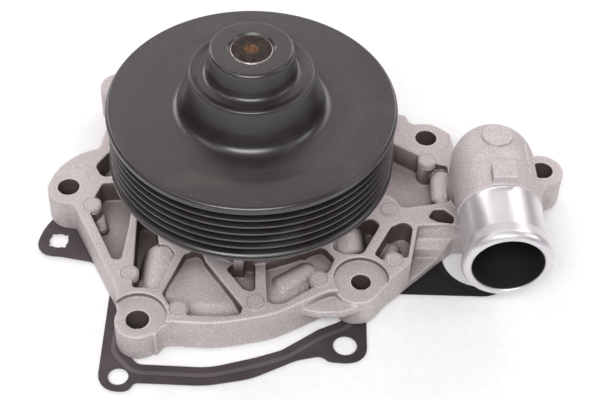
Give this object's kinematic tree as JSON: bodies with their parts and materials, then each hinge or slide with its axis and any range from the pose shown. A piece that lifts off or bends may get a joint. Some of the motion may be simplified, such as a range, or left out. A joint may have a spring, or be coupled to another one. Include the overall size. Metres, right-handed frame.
{
  "type": "water pump",
  "caption": "Belt-driven engine coolant pump: cast aluminium flange with hose elbow, grooved pulley on a bearing shaft, rear impeller and a loose gasket.",
  "frame": {"origin": "on the pump shaft's axis, at the underside of the gasket where it meets the engine block", "axes": "+Z along the shaft towards the pulley's nose, +X towards the hose elbow, -Y the way the hose tube opens"},
  "size_m": [0.2149, 0.1595, 0.104],
  "materials": {
    "cast_aluminium": "fine cast grain, satin",
    "turned_aluminium": "turned, bright",
    "bearing_steel": "ground",
    "shaft_steel": "light surface rust on the cut end",
    "spring_steel": "drawn wire",
    "impeller_steel": "pressed sheet",
    "pulley_coating": "dark satin coating",
    "gasket_coating": "matt rubber-coated sheet",
    "brass": "pressed sheet",
    "black_rubber": "matt",
    "carbon": "lapped face",
    "ceramic": "lapped face",
    "cage_plastic": "moulded"
  },
  "bodies": {
    "housing": {"pump_housing": "cast_aluminium", "hose_tube": "turned_aluminium", "bearing_outer_ring": "bearing_steel", "bearing_front_seal": "black_rubber", "bearing_rear_seal": "black_rubber", "seal_casing": "brass", "seal_bellows": "black_rubber", "seal_spring": "spring_steel", "seal_spring_plate": "brass", "seal_carbon_ring": "carbon"},
    "rotor": {"pump_shaft": "shaft_steel", "pulley": "pulley_coating", "slinger": "bearing_steel", "seal_seat_cup": "black_rubber", "seal_seat_ring": "ceramic", "impeller": "impeller_steel", "impeller_hub": "impeller_steel"},
    "ball_row": {"bearing_balls": "bearing_steel", "ball_cage": "cage_plastic"},
    "roller_row": {"bearing_rollers": "bearing_steel", "roller_cage": "cage_plastic"},
    "gasket": {"gasket": "gasket_coating"}
  },
  "joints": [
    {"name": "shaft_spin", "type": "hinge", "parent": "housing", "child": "rotor", "pos_m": [0, 0, 0.05], "axis": [0, 0, 1], "continuous": true},
    {"name": "ball_row_spin", "type": "hinge", "parent": "housing", "child": "ball_row", "pos_m": [0, 0, 0.04], "axis": [0, 0, 1], "continuous": true},
    {"name": "roller_row_spin", "type": "hinge", "parent": "housing", "child": "roller_row", "pos_m": [0, 0, 0.058], "axis": [0, 0, 1], "continuous": true},
    {"name": "gasket_register", "type": "hinge", "parent": "housing", "child": "gasket", "pos_m": [-0.412, 0.0987, 0], "axis": [0, 0, 1], "range_deg": [0, 2.6]}
  ],
  "couplings": [
    {"joint": "ball_row_spin", "follows": "shaft_spin", "ratio": 0.3656},
    {"joint": "roller_row_spin", "follows": "shaft_spin", "ratio": 0.3907}
  ]
}
